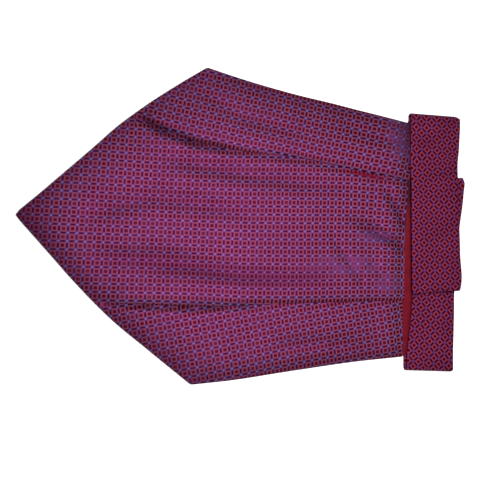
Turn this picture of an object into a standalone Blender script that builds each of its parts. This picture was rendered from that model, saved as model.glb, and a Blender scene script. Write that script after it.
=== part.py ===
"""A ready-made silk cravat, laid flat: a pleated blade, its neckband with both ends folded over, and
the neckband's lining. The point lies towards -X, the neckband towards +X, and +Z is up."""

import math
from collections import namedtuple

import bpy
import numpy as np

# Tables and sizes are in millimetres, and the meshes in metres.
MM = 0.001

WALL = 1.0
GAP = 0.3
LEVEL = WALL + GAP
FOLD_RADIUS = WALL + GAP / 2

Place = namedtuple("Place", "x y")

# The places below are measured from a point near the cravat's middle. The origin is put under the middle of
# its box.
BOX_MIDDLE = Place(-0.8, 0.1)

# The blade's outline: two edges form its point and two long ones run to the neck. Each edge is a smooth
# line through its places, and the edges meet in corners that the hem rounds a little.
POINT_CORNER = Place(-151.8, 7.1)
UPPER_CORNER = Place(-30.7, 102.9)
LOWER_CORNER = Place(-41.6, -102.5)
UPPER_POINT_EDGE = (
    POINT_CORNER,
    Place(-140.0, 17.0),
    Place(-122.9, 32.1),
    Place(-100.0, 52.6),
    Place(-91.5, 60.5),
    Place(-73.0, 75.1),
    Place(-49.9, 90.9),
    UPPER_CORNER,
)
UPPER_LONG_EDGE = (
    UPPER_CORNER,
    Place(-6.5, 96.0),
    Place(26.1, 88.1),
    Place(59.5, 81.4),
    Place(106.6, 70.3),
)
LOWER_POINT_EDGE = (
    POINT_CORNER,
    Place(-132.7, -15.1),
    Place(-113.1, -37.8),
    Place(-93.2, -58.5),
    Place(-69.2, -79.2),
    LOWER_CORNER,
)
LOWER_LONG_EDGE = (
    LOWER_CORNER,
    Place(-17.2, -100.8),
    Place(26.1, -95.8),
    Place(70.8, -91.0),
    Place(106.2, -88.5),
)
UPPER_EDGES = (UPPER_POINT_EDGE, UPPER_LONG_EDGE)
LOWER_EDGES = (LOWER_POINT_EDGE, LOWER_LONG_EDGE)
CORNER_SOFTNESS = 0.35
SLOPE_STEP = 0.5

HEM_WIDTH = 9.0
LEAST_HEM = 1.1 * FOLD_RADIUS

# Each pleat's visible fold, from where it opens to the neck end.
UPPER_FOLD = (
    Place(-78.0, 71.0),
    Place(-61.4, 62.9),
    Place(-42.0, 55.1),
    Place(-18.0, 50.0),
    Place(31.9, 44.6),
    Place(81.2, 35.3),
    Place(110.0, 30.0),
)
LOWER_FOLD = (
    Place(-99.0, -49.6),
    Place(-80.6, -49.6),
    Place(-42.0, -52.0),
    Place(31.9, -50.9),
    Place(110.0, -50.0),
)
Pleat = namedtuple("Pleat", "fold opens_at depth_per_length rise")
UPPER_PLEAT = Pleat(UPPER_FOLD, -78.0, math.tan(math.radians(5.3)), 60.0)
LOWER_PLEAT = Pleat(LOWER_FOLD, -99.0, math.tan(math.radians(6.0)), 34.0)
PLEAT_OPENING = 22.0
PLEAT_LENGTH = 90.0
LEAST_RISE = 14.0
PLEAT_CLEARANCE = 1.5
SOFT_STEP_RADIUS = 3.0
SHORTEST_TURN = 0.8
SHORTEST_RETURN = 0.8
NARROWEST_STRIP = 5.0
FULL_WIDTH = 50.0

# The padded cloth rises from its edges, over less of its width at the long edges than at the point, and
# settles in soft troughs. Each trough runs through its places, and fades at both ends.
PILLOW_RISE = 2.0
POINT_REACH = 24.0
LONG_REACH = 14.0
Trough = namedtuple("Trough", "name width depth places")
TROUGHS = (
    Trough("upper_panel", 5.0, 0.7, (Place(-46, 92), Place(-9, 70), Place(60, 54))),
    Trough("below_upper_pleat", 5.5, 1.0, (Place(-66, 45), Place(-2, 33), Place(96, 22))),
    Trough("point_to_middle", 6.5, 1.2, (Place(-116, 6), Place(-66, 19), Place(-20, 12), Place(36, -6))),
    Trough(
        "above_lower_pleat", 7.0, 1.6, (Place(-120, -20), Place(-62, -21), Place(-6, -32), Place(96, -34))
    ),
    Trough("neck_upper", 5.0, 0.9, (Place(70, 24), Place(90, 15), Place(112, -6))),
    Trough("neck_middle", 5.0, 0.9, (Place(56, 8), Place(82, -4), Place(116, -20))),
    Trough("neck_lower", 5.0, 0.6, (Place(44, -2), Place(60, -20), Place(84, -34), Place(110, -36))),
    Trough("upper_panel_neck", 5.0, 0.8, (Place(56, 70), Place(80, 60), Place(116, 50))),
    Trough("lower_panel", 5.0, 0.7, (Place(52, -72), Place(70, -66), Place(92, -62))),
    Trough("lower_panel_edge", 5.0, 0.5, (Place(10, -80), Place(62, -76), Place(116, -84))),
)
SOFT_START = 0.15
SOFT_FINISH = 0.5

# The seam to the neckband, from its lower end to its upper one.
SeamPoint = namedtuple("SeamPoint", "y x")
SEAM = (
    SeamPoint(-95.0, 103.6),
    SeamPoint(-50.0, 103.8),
    SeamPoint(-20.0, 104.2),
    SeamPoint(5.0, 105.9),
    SeamPoint(25.0, 107.6),
    SeamPoint(75.0, 108.4),
)
SEAM_BEND_LENGTH = 40.0
NECK_ROLL_LENGTH = 24.0
NECK_ROLL_CREST = 8.0
NECK_ROLL_HEIGHT = 2.0

# How many segments the cloth has across each stretch of the blade.
TURN_SEGMENTS = 4
HEM_SEGMENTS = 2
PANEL_SEGMENTS = {"upper": 8, "centre": 14, "lower": 7}
RETURN_SEGMENTS = 2

# Where the blade is divided along its length.
TIP = Place(-150.6, 6.6)
TIP_LENGTH = 2.4
TIP_SCALE = 0.14
BLADE_STATIONS = (
    -145.0, -140.0, -133.0, -125.0, -116.0, -107.0, -102.0, -99.4, -97.0, -93.0, -88.1, -83.5, -79.0,
    -75.0, -71.0, -67.0, -63.0, -58.0, -51.0, -46.0, -42.4, -41.6, -40.8, -37.0, -33.5, -31.5, -30.7,
    -29.9, -27.0, -22.0, -14.0, -4.0, 8.0, 21.0, 34.0, 47.0, 59.0, 70.0, 78.0, 85.0, 90.5, 95.0, 98.8,
    101.7, 103.6,
)

# The neckband, from the end of its lower end piece, round the bottom fold, up its sewn middle, round the
# top fold and down to the end of its upper end piece. Each row gives its two edges at that height.
BandRow = namedtuple("BandRow", "y_left y_right x_left x_right")
BAND_LOWER_END = (
    BandRow(32.0, 34.0, 117.0, 147.8),
    BandRow(30.0, 31.5, 116.6, 149.0),
    BandRow(24.0, 24.0, 116.3, 148.6),
    BandRow(-0.7, -0.7, 114.6, 145.4),
    BandRow(-24.0, -24.0, 112.6, 143.0),
    BandRow(-45.6, -45.6, 110.8, 141.5),
    BandRow(-61.0, -61.0, 109.5, 141.3),
    BandRow(-75.5, -75.5, 108.0, 140.9),
    BandRow(-86.0, -86.0, 106.6, 140.6),
)
BAND_MIDDLE = (
    BandRow(-86.0, -86.0, 105.2, 140.4),
    BandRow(-50.0, -50.0, 104.3, 141.0),
    BandRow(-20.0, -20.0, 104.7, 142.0),
    BandRow(5.0, 5.0, 106.4, 143.0),
    BandRow(25.0, 25.0, 108.1, 143.6),
    BandRow(68.0, 68.0, 108.9, 144.8),
)
BAND_UPPER_END = (
    BandRow(67.4, 67.4, 109.6, 145.8),
    BandRow(50.0, 50.0, 109.3, 144.7),
    BandRow(41.0, 45.0, 109.3, 144.1),
    BandRow(38.0, 42.0, 109.3, 143.9),
    BandRow(34.5, 38.5, 109.3, 143.7),
    BandRow(31.0, 35.0, 109.3, 143.6),
    BandRow(27.5, 31.5, 109.3, 143.6),
    BandRow(16.0, 18.0, 109.3, 143.8),
    BandRow(-0.7, -0.7, 109.4, 144.7),
    BandRow(-18.7, -18.7, 109.6, 145.3),
    BandRow(-43.0, -41.0, 109.9, 145.9),
    BandRow(-46.0, -44.0, 110.1, 145.3),
)
BAND_BOTTOM_FOLD = BandRow(-97.8, -99.9, 105.6, 140.2)
BAND_TOP_FOLD = BandRow(77.6, 76.1, 109.5, 143.8)
BAND_STEP_ROWS = (2, 6)
BAND_TURN_SEGMENTS = 6
BAND_ACROSS = (0.0, 0.07, 0.3, 0.7, 0.93, 1.0)
BAND_EDGE_THINNING = 0.26

LINING_INSET = 1.6
LINING_TOP = 72.0
LINING_BOTTOM = -88.0
LINING_SEGMENTS = 20

Finish = namedtuple("Finish", "colour roughness")
PATTERNED_SILK = Finish((0.172, 0.037, 0.106, 1.0), 0.42)
BAND_SILK = Finish((0.135, 0.030, 0.090, 1.0), 0.42)
RED_SATIN = Finish((0.170, 0.004, 0.012, 1.0), 0.35)


def clear_scene():
    for old in list(bpy.data.objects):
        bpy.data.objects.remove(old, do_unlink=True)


def ease(value):
    """0 below 0, 1 above 1 and a soft S between."""
    share = min(max(value, 0.0), 1.0)
    return share * share * (3.0 - 2.0 * share)


def through(rows, key, column, place):
    """Reads a table's column at a place along its key, on a smooth curve through the rows."""
    keys = np.array([getattr(row, key) for row in rows])
    values = np.array([getattr(row, column) for row in rows])
    slopes = np.gradient(values, keys)
    first = min(max(int(np.searchsorted(keys, place)) - 1, 0), len(keys) - 2)
    span = keys[first + 1] - keys[first]
    share = (min(max(place, keys[0]), keys[-1]) - keys[first]) / span
    start = values[first] * (1 + 2 * share) * (1 - share) ** 2
    end = values[first + 1] * (3 - 2 * share) * share**2
    leave = slopes[first] * span * share * (1 - share) ** 2
    arrive = slopes[first + 1] * span * share**2 * (share - 1)
    return float(start + end + leave + arrive)


def edge_at(edge, x):
    """An edge's height at x, carried on straight beyond its ends, and the cosine of its angle."""
    inside = min(max(x, edge[0].x), edge[-1].x)
    before = max(inside - SLOPE_STEP, edge[0].x)
    after = min(inside + SLOPE_STEP, edge[-1].x)
    slope = (through(edge, "x", "y", after) - through(edge, "x", "y", before)) / (after - before)
    return through(edge, "x", "y", inside) + slope * (x - inside), math.cos(math.atan(slope))


def soft_least(values):
    """The least of some values, rounded off where two of them are nearly equal."""
    least = min(values)
    total = sum(math.exp((least - value) / CORNER_SOFTNESS) for value in values)
    return least - CORNER_SOFTNESS * math.log(total)


def upper_y(x, inset):
    """The height of the line that lies this far inside the upper edges."""
    return soft_least([y - inset / cosine for y, cosine in (edge_at(edge, x) for edge in UPPER_EDGES)])


def lower_y(x, inset):
    return -soft_least([-y - inset / cosine for y, cosine in (edge_at(edge, x) for edge in LOWER_EDGES)])


def pillow_lift(x, y):
    """The rise from the turned edge to the padded middle. It is steepest at the edge."""
    full = 1.0
    for edges, side in ((UPPER_EDGES, 1), (LOWER_EDGES, -1)):
        for edge, reach in zip(edges, (POINT_REACH, LONG_REACH)):
            edge_y, cosine = edge_at(edge, x)
            share = min(max((side * (edge_y - y) * cosine - FOLD_RADIUS) / reach, 0.0), 1.0)
            full *= 1 - (1 - share) ** 2
    return PILLOW_RISE * full * ease((SEAM[0].x - x) / NECK_ROLL_LENGTH)


def along_places(places, x, y):
    """How far a point lies from a line of straight stretches, and the share of it that it is at."""
    lengths = [math.dist(start, end) for start, end in zip(places, places[1:])]
    nearest, at, walked = math.inf, 0.0, 0.0
    for start, end, length in zip(places, places[1:], lengths):
        run = (end.x - start.x, end.y - start.y)
        share = min(max(((x - start.x) * run[0] + (y - start.y) * run[1]) / length**2, 0.0), 1.0)
        apart = math.dist((x, y), (start.x + share * run[0], start.y + share * run[1]))
        if apart < nearest:
            nearest, at = apart, (walked + share * length) / sum(lengths)
        walked += length
    return nearest, at


def trough_lift(x, y):
    lift = 0.0
    for trough in TROUGHS:
        apart, at = along_places(trough.places, x, y)
        depth = trough.depth * ease(at / SOFT_START) * ease((1 - at) / SOFT_FINISH)
        lift -= depth * math.exp(-((apart / trough.width) ** 2))
    return lift


def neck_lift(x):
    """The roll in which the blade rises over its seam allowance before it drops into the seam."""
    from_seam = SEAM[0].x - x
    rise = 1 - ease((from_seam - NECK_ROLL_CREST) / (NECK_ROLL_LENGTH - NECK_ROLL_CREST))
    return NECK_ROLL_HEIGHT * rise * ease(from_seam / NECK_ROLL_CREST)


def cloth_lift(x, y):
    """How far the panels lie above where they would with no hem, padding, trough or roll."""
    return LEVEL + max(pillow_lift(x, y) + neck_lift(x) + trough_lift(x, y), 0.0)


def turned_edge(at_inset, outline_y, x, upper):
    """The hem and the turn round its edge, as pairs of outer and inner points, from the hem's raw edge."""
    hem_insets = np.linspace(at_inset, FOLD_RADIUS, HEM_SEGMENTS + 1)[:-1]
    pairs = [((outline_y(x, inset), 0.0), (outline_y(x, inset), WALL)) for inset in hem_insets]
    for angle in np.linspace(0.0, math.pi, TURN_SEGMENTS + 1):
        pair = []
        for radius in (FOLD_RADIUS, FOLD_RADIUS - WALL):
            inset = FOLD_RADIUS - radius * math.sin(angle)
            pair.append((outline_y(x, inset), FOLD_RADIUS - radius * math.cos(angle)))
        pairs.append(tuple(pair))
    return pairs if upper else pairs[::-1]


class PleatSection:
    """One pleat where a plane of constant x cuts it."""

    def __init__(self, pleat, x, scale):
        along = x - pleat.opens_at
        self.turn = math.pi * ease(along / PLEAT_OPENING)
        softness = max(1 - self.turn / (math.pi / 2), 0.0)
        radius = LEVEL / 2 + SOFT_STEP_RADIUS * softness**2
        shortest = SHORTEST_TURN * scale
        self.arc = max(radius * self.turn, shortest)
        self.depth = max(along * pleat.depth_per_length, SHORTEST_RETURN * scale)
        self.rise = LEAST_RISE + (pleat.rise - LEAST_RISE) * ease(along / PLEAT_LENGTH)
        self.places = self.walk()
        self.height = -self.places[-1][1]
        folded = math.sin(self.turn / 2) ** 2
        self.set_back = FOLD_RADIUS * folded
        self.hidden = (self.depth + PLEAT_CLEARANCE) * folded

    def walk(self):
        """The pleat's middle line and its outward direction, from the panel above to the one below."""
        steps = [(self.arc / TURN_SEGMENTS, self.turn / TURN_SEGMENTS)] * TURN_SEGMENTS
        steps += [(self.depth / RETURN_SEGMENTS, 0.0)] * RETURN_SEGMENTS
        steps += [(self.arc / TURN_SEGMENTS, -self.turn / TURN_SEGMENTS)] * TURN_SEGMENTS
        y = z = angle = 0.0
        places = [(y, z, angle)]
        for length, bend in steps:
            middle = angle + bend / 2
            chord = length * (math.sin(bend / 2) / (bend / 2) if bend else 1.0)
            y -= chord * math.cos(middle)
            z -= chord * math.sin(middle)
            angle += bend
            places.append((y, z, angle))
        return places

    def pairs(self, start_y, base):
        """Outer and inner points, with the last of the middle line standing at the base height."""
        made = []
        for y, z, angle in self.places:
            out_y, out_z = -math.sin(angle) * WALL / 2, math.cos(angle) * WALL / 2
            middle = (start_y + y, base + self.height + z)
            made.append(((middle[0] + out_y, middle[1] + out_z), (middle[0] - out_y, middle[1] - out_z)))
        return made

    def shift(self):
        return self.places[-1][0]


def panel(from_y, to_y, segments, lift):
    """Outer and inner points of a flat stretch between two pleats or edges, without its two ends."""
    pairs = []
    for y in np.linspace(from_y, to_y, segments + 1)[1:-1]:
        under = lift(y)
        pairs.append(((y, under + WALL), (y, under)))
    return pairs


def blade_section(x):
    """All the cloth's points where a plane of constant x cuts the blade, as (outer, inner) pairs."""
    top, bottom = upper_y(x, FOLD_RADIUS), lower_y(x, FOLD_RADIUS)
    middle = (upper_y(x, 0.0) + lower_y(x, 0.0)) / 2
    scale = min((top - bottom) / FULL_WIDTH, 1.0)
    strip = NARROWEST_STRIP * scale
    upper = PleatSection(UPPER_PLEAT, x, scale)
    lower = PleatSection(LOWER_PLEAT, x, scale)
    upper_start = min(through(UPPER_FOLD, "x", "y", x) + upper.set_back, top - strip)
    upper_end = upper_start + upper.shift()
    lower_start = through(LOWER_FOLD, "x", "y", x) + lower.set_back
    lower_start = max(lower_start, bottom + strip - lower.shift() * (1 - math.sin(lower.turn / 2) ** 2))
    lower_end = lower_start + lower.shift()

    def upper_lift(y):
        full = upper_start + upper.hidden
        reach = min(upper.rise, top - full)
        return upper.height * (1 - ease((y - full) / reach)) if y > full else upper.height

    def centre_lift(y):
        full = lower_start + lower.hidden
        return lower.height * (1 - ease((y - full) / lower.rise))

    half = WALL / 2
    sheets = turned_edge(hem_reach(x, upper_y, middle, 1), upper_y, x, True)
    over_hem = len(sheets)
    sheets += panel(top, upper_start, PANEL_SEGMENTS["upper"], upper_lift)
    sheets += upper.pairs(upper_start, half)
    sheets += panel(upper_end, lower_start, PANEL_SEGMENTS["centre"], centre_lift)
    sheets += lower.pairs(lower_start, half)
    sheets += panel(lower_end, bottom, PANEL_SEGMENTS["lower"], lambda y: 0.0)
    lower_hem = turned_edge(hem_reach(x, lower_y, middle, -1), lower_y, x, False)
    placed = []
    for index, pair in enumerate(sheets + lower_hem):
        on_panel = over_hem <= index < len(sheets)
        lift = cloth_lift(x, (pair[0][0] + pair[1][0]) / 2) if on_panel else 0.0
        placed.append([(point_y, point_z + lift) for point_y, point_z in pair])
    return placed


def hem_reach(x, outline_y, middle, side):
    """The hem's width, less where the hems of both edges meet in the point."""
    inset = HEM_WIDTH
    while inset > LEAST_HEM and side * (outline_y(x, inset) - middle) < GAP:
        inset -= GAP / 2
    return max(inset, LEAST_HEM)


def seam_shift(x, y):
    """Slants the last sections so that they end on the seam."""
    towards = ease((x - SEAM[0].x + SEAM_BEND_LENGTH) / SEAM_BEND_LENGTH)
    return towards * (through(SEAM, "y", "x", y) - SEAM[0].x)


def sheet_mesh(name, sections):
    """Closes a run of sections, each a list of (outer, inner) points, into one wall."""
    across = len(sections[0])
    points = [point for section in sections for pair in section for point in pair]

    def at(row, column, side):
        return (row * across + column) * 2 + side

    faces = []
    last_row, last_column = len(sections) - 1, across - 1
    for row in range(last_row):
        for column in range(last_column):
            for side in (0, 1):
                quad = (at(row, column, side), at(row, column + 1, side),
                        at(row + 1, column + 1, side), at(row + 1, column, side))
                faces.append(quad[::-1] if side else quad)
        for column in (0, last_column):
            quad = (at(row, column, 0), at(row + 1, column, 0), at(row + 1, column, 1), at(row, column, 1))
            faces.append(quad[::-1] if column else quad)
    for row in (0, last_row):
        for column in range(last_column):
            quad = (at(row, column, 0), at(row, column, 1), at(row, column + 1, 1), at(row, column + 1, 0))
            faces.append(quad[::-1] if row else quad)
    centred = np.array(points) - (BOX_MIDDLE.x, BOX_MIDDLE.y, 0.0)
    mesh = bpy.data.meshes.new(name)
    mesh.from_pydata((centred * MM).tolist(), [], faces)
    mesh.update()
    return mesh


def material(name, finish):
    made = bpy.data.materials.new(name)
    made.use_nodes = True
    shader = made.node_tree.nodes["Principled BSDF"]
    shader.inputs["Base Color"].default_value = finish.colour
    shader.inputs["Roughness"].default_value = finish.roughness
    shader.inputs["Metallic"].default_value = 0.0
    made.diffuse_color = finish.colour
    return made


def add_piece(name, sections, finish):
    mesh = sheet_mesh(name, sections)
    mesh.materials.append(material(name, finish))
    mesh.shade_smooth()
    mesh.set_sharp_from_angle(angle=math.radians(40))
    piece = bpy.data.objects.new(name, mesh)
    bpy.context.scene.collection.objects.link(piece)
    return piece


def shrunk_to_tip(place):
    """Draws a point of the first section in towards the blade's tip."""
    y = TIP.y + (place[1] - TIP.y) * TIP_SCALE
    z = FOLD_RADIUS + (place[2] - FOLD_RADIUS) * TIP_SCALE
    return (TIP.x, y, z)


def make_blade():
    sections = []
    for x in (TIP.x + TIP_LENGTH,) + BLADE_STATIONS:
        section = []
        for pair in blade_section(x):
            section.append([(x + seam_shift(x, y), y, z) for y, z in pair])
        sections.append(section)
    point = [[shrunk_to_tip(place) for place in pair] for pair in sections[0]]
    return add_piece("blade", [point] + sections, PATTERNED_SILK)


def band_section(row, z, angle=0.0, out=0.0):
    """The band's (outer, inner) points across one row. The angle turns the outer side round the folds."""
    pairs = []
    for share in BAND_ACROSS:
        x = row.x_left + share * (row.x_right - row.x_left)
        y = row.y_left + share * (row.y_right - row.y_left)
        at_edge = abs(share - 0.5) * 2
        half = WALL / 2 - BAND_EDGE_THINNING * ease((at_edge - 0.8) / 0.2)
        pair = []
        for side in (1, -1):
            reach = out + side * half
            pair.append((x, y + reach * math.sin(angle), z + reach * math.cos(angle)))
        pairs.append(pair)
    return pairs


def blend_rows(first, second, share):
    return BandRow(*[a + (b - a) * share for a, b in zip(first, second)])


def band_turn(before, fold, after, sign):
    """The half turn round a fold, from one height to the other. The sign is +1 at the top fold."""
    radius = LEVEL
    rows = []
    inner = fold._replace(
        y_left=fold.y_left - sign * (radius + WALL / 2),
        y_right=fold.y_right - sign * (radius + WALL / 2),
    )
    for step in range(BAND_TURN_SEGMENTS + 1):
        share = step / BAND_TURN_SEGMENTS
        edges = blend_rows(before, after, share)
        corner = math.sin(math.pi * share)
        row = inner._replace(
            x_left=edges.x_left + (fold.x_left - edges.x_left) * corner,
            x_right=edges.x_right + (fold.x_right - edges.x_right) * corner,
        )
        rows.append((row, share))
    return rows


def make_neckband():
    low, high = WALL / 2, WALL / 2 + 2 * LEVEL
    middle, radius = (low + high) / 2, LEVEL
    sections = [band_section(row, high) for row in BAND_LOWER_END]
    for row, share in band_turn(BAND_LOWER_END[-1], BAND_BOTTOM_FOLD, BAND_MIDDLE[0], -1):
        sections.append(band_section(row, middle, -math.pi * share, radius))
    sections += [band_section(row, low, math.pi) for row in BAND_MIDDLE]
    for row, share in band_turn(BAND_MIDDLE[-1], BAND_TOP_FOLD, BAND_UPPER_END[0], 1):
        sections.append(band_section(row, middle, math.pi * (1 - share), radius))
    first, last = BAND_STEP_ROWS
    for index, row in enumerate(BAND_UPPER_END):
        step_up = LEVEL * ease((index - first) / (last - first))
        sections.append(band_section(row, high + step_up))
    return add_piece("neckband", sections[::-1], BAND_SILK)


def make_lining():
    sections = []
    for y in np.linspace(LINING_BOTTOM, LINING_TOP, LINING_SEGMENTS + 1):
        left = through(SEAM, "y", "x", y) + GAP
        right = through(BAND_MIDDLE, "y_left", "x_right", y) - LINING_INSET
        row = BandRow(y, y, left, right)
        sections.append(band_section(row, WALL / 2 + LEVEL))
    return add_piece("neckband_lining", sections, RED_SATIN)


clear_scene()
make_blade()
make_neckband()
make_lining()
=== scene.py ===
# %% [markdown]
# # A silk cravat, laid flat
# A ready-made cravat has a broad pointed blade of patterned silk, pleated towards the neck, and a narrow
# band that goes round the neck. Here the band's two ends are folded over it, as in a shop's display.
# The frame holds plain solids at the real size. This script gives them their looks: a finer drape of the
# same cloth, its woven pattern, its sheen and its sewing.

import math
from collections import namedtuple

import bpy
import numpy as np
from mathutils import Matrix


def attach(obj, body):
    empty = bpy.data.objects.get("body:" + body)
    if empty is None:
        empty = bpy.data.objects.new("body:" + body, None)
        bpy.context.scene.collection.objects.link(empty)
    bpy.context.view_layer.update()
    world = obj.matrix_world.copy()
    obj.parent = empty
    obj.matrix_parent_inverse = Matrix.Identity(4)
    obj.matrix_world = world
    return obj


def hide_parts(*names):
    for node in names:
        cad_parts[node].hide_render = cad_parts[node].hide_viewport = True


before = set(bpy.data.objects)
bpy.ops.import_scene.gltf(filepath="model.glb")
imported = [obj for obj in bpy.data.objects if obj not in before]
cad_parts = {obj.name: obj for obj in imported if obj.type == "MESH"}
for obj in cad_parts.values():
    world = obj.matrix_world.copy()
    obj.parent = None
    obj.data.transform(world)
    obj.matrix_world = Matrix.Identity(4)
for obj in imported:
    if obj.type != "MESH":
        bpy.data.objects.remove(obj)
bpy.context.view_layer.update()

# %% [markdown]
# ## Units and small helpers
# The sizes below are in millimetres, as a maker measures them, and a mesh is in metres, so the last step
# of each piece multiplies by MM. Every operator acts on what is selected, so each step starts clean.

# %% Helpers
MM = 0.001
Place = namedtuple("Place", "x y")
BOX_MIDDLE = Place(-0.8, 0.1)


def table(row_type, *rows):
    """Rows of numbers as a table whose columns have names."""
    return tuple(row_type(*row) for row in rows)


def deselect():
    bpy.ops.object.select_all(action="DESELECT")


def in_metres(x, y, z):
    """A place of the tables below as a place in the scene."""
    return (x - BOX_MIDDLE.x) * MM, (y - BOX_MIDDLE.y) * MM, z * MM


def ease(value):
    """0 below 0, 1 above 1 and a soft S between."""
    share = np.clip(value, 0.0, 1.0)
    return share * share * (3.0 - 2.0 * share)


def through(rows, key, column, place):
    """Reads a table's column at a place along its key, on a smooth curve through the rows."""
    keys = np.array([getattr(row, key) for row in rows])
    values = np.array([getattr(row, column) for row in rows])
    slopes = np.gradient(values, keys)
    place = np.clip(place, keys[0], keys[-1])
    first = np.clip(np.searchsorted(keys, place) - 1, 0, len(keys) - 2)
    span = keys[first + 1] - keys[first]
    share = (place - keys[first]) / span
    start = values[first] * (1 + 2 * share) * (1 - share) ** 2
    end = values[first + 1] * (3 - 2 * share) * share**2
    leave = slopes[first] * span * share * (1 - share) ** 2
    arrive = slopes[first + 1] * span * share**2 * (share - 1)
    return start + end + leave + arrive


# %% [markdown]
# ## The camera
# The cravat is seen from above, from a little towards its point. A long lens from about half a metre
# keeps its edges nearly parallel.

# %% Camera
LOOK_AT = Place(-8.9, -9.0)
CAMERA_DISTANCE = 540.0
CAMERA_TILT = math.radians(12.0)
LENS = 61.8

deselect()
camera_x = LOOK_AT.x - CAMERA_DISTANCE * math.sin(CAMERA_TILT)
camera_z = CAMERA_DISTANCE * math.cos(CAMERA_TILT)
bpy.ops.object.camera_add(
    location=in_metres(camera_x, LOOK_AT.y, camera_z), rotation=(0.0, -CAMERA_TILT, 0.0)
)
camera = bpy.context.object
camera.data.lens = LENS
bpy.context.scene.camera = camera
print("camera at", np.round(camera.location, 3).tolist())

# %% [markdown]
# ## Floor and light
# A white sweep of paper and one soft box do for silk. The box stands where the flat cloth mirrors it
# into the camera, so the middle of the blade shines and whatever tips away from it goes dark. A pale
# sky fills the rest and keeps the paper white.

# %% Floor and light
FLOOR_SIDE = 6.0
FLOOR_BELOW = 0.1
LAMP_DISTANCE = 520.0
LAMP_SIDE = 0.20
LAMP_TOWARDS_POINT = 46.0
LAMP_UPWARDS = 8.0
LAMP_POWER = 3.95
SKY = (1.0, 1.0, 1.0, 1.0)
SKY_STRENGTH = 0.35

deselect()
bpy.ops.mesh.primitive_plane_add(size=FLOOR_SIDE, location=(0.0, 0.0, -FLOOR_BELOW * MM))
floor = bpy.context.object
floor.name = "paper_floor"

deselect()
lamp_x = LOOK_AT.x - LAMP_TOWARDS_POINT + LAMP_DISTANCE * math.sin(CAMERA_TILT)
lamp_y = LOOK_AT.y + LAMP_UPWARDS
lamp_z = LAMP_DISTANCE * math.cos(CAMERA_TILT)
bpy.ops.object.light_add(
    type="AREA", location=in_metres(lamp_x, lamp_y, lamp_z), rotation=(0.0, CAMERA_TILT, 0.0)
)
lamp = bpy.context.object
lamp.data.energy = LAMP_POWER
lamp.data.size = LAMP_SIDE

world = bpy.data.worlds.new("pale_sky")
bpy.context.scene.world = world
world.use_nodes = True
world.node_tree.nodes["Background"].inputs["Color"].default_value = SKY
world.node_tree.nodes["Background"].inputs["Strength"].default_value = SKY_STRENGTH
bpy.context.scene.view_settings.view_transform = "Standard"

# %% [markdown]
# ## The blade's cut and its folds
# The blade is one piece of silk. Its two point edges and two long edges are turned under in a narrow
# hem. Two pleats open like darts at the point edges and grow deeper towards the neck. The numbers are
# the frame's own, so the cloth lies where its solid does.

# %% The blade's sizes
WALL = 1.0
GAP = 0.3
LEVEL = WALL + GAP
FOLD_RADIUS = WALL + GAP / 2
CLOTH = 0.55

POINT_CORNER = Place(-151.8, 7.1)
UPPER_CORNER = Place(-30.7, 102.9)
LOWER_CORNER = Place(-41.6, -102.5)
UPPER_POINT_EDGE = table(
    Place, POINT_CORNER, (-140.0, 17.0), (-122.9, 32.1), (-100.0, 52.6), (-91.5, 60.5), (-73.0, 75.1),
    (-49.9, 90.9), UPPER_CORNER,
)
UPPER_LONG_EDGE = table(Place, UPPER_CORNER, (-6.5, 96.0), (26.1, 88.1), (59.5, 81.4), (106.6, 70.3))
LOWER_POINT_EDGE = table(
    Place, POINT_CORNER, (-132.7, -15.1), (-113.1, -37.8), (-93.2, -58.5), (-69.2, -79.2), LOWER_CORNER
)
LOWER_LONG_EDGE = table(Place, LOWER_CORNER, (-17.2, -100.8), (26.1, -95.8), (70.8, -91.0), (106.2, -88.5))
UPPER, LOWER = 1, -1
EDGES = {UPPER: (UPPER_POINT_EDGE, UPPER_LONG_EDGE), LOWER: (LOWER_POINT_EDGE, LOWER_LONG_EDGE)}
CORNER_SOFTNESS = 0.35
SLOPE_STEP = 0.5

HEM_WIDTH = 9.0
LEAST_HEM = 1.1 * FOLD_RADIUS
PILLOW_RISE = 2.0
POINT_REACH = 24.0
LONG_REACH = 14.0

UPPER_FOLD = table(
    Place, (-78.0, 71.0), (-61.4, 62.9), (-42.0, 55.1), (-18.0, 50.0), (31.9, 44.6), (81.2, 35.3),
    (110.0, 30.0),
)
LOWER_FOLD = table(Place, (-99.0, -49.6), (-80.6, -49.6), (-42.0, -52.0), (31.9, -50.9), (110.0, -50.0))
Pleat = namedtuple("Pleat", "fold depth_per_length rise")
UPPER_PLEAT = Pleat(UPPER_FOLD, math.tan(math.radians(5.3)), 60.0)
LOWER_PLEAT = Pleat(LOWER_FOLD, math.tan(math.radians(6.0)), 34.0)
PLEAT_OPENING = 22.0
PLEAT_LENGTH = 90.0
LEAST_LEVEL = 0.62
LEAST_RISE = 14.0
PLEAT_CLEARANCE = 1.5
SOFT_STEP_RADIUS = 3.0
SHORTEST_TURN = 0.8
SHORTEST_RETURN = 0.35
RETURN_FROM = 0.75
NARROWEST_STRIP = 5.0
FULL_WIDTH = 50.0

SeamPoint = namedtuple("SeamPoint", "y x")
SEAM = table(
    SeamPoint, (-95.0, 103.6), (-50.0, 103.8), (-20.0, 104.2), (5.0, 105.9), (25.0, 107.6), (75.0, 108.4)
)
SEAM_BEND_LENGTH = 40.0
NECK_ROLL_LENGTH = 24.0
NECK_ROLL_CREST = 8.0
NECK_ROLL_HEIGHT = 2.0

TIP = Place(-150.6, 6.6)
TIP_LENGTH = 2.4
TIP_SCALE = 0.14

# %% [markdown]
# ## The outline
# Two nearly straight edges above and two below enclose the blade. Along any line across it, the lower of
# the upper edges is the one that counts, and a soft minimum rounds the corners off as a turned hem does.

# %% The outline


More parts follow.
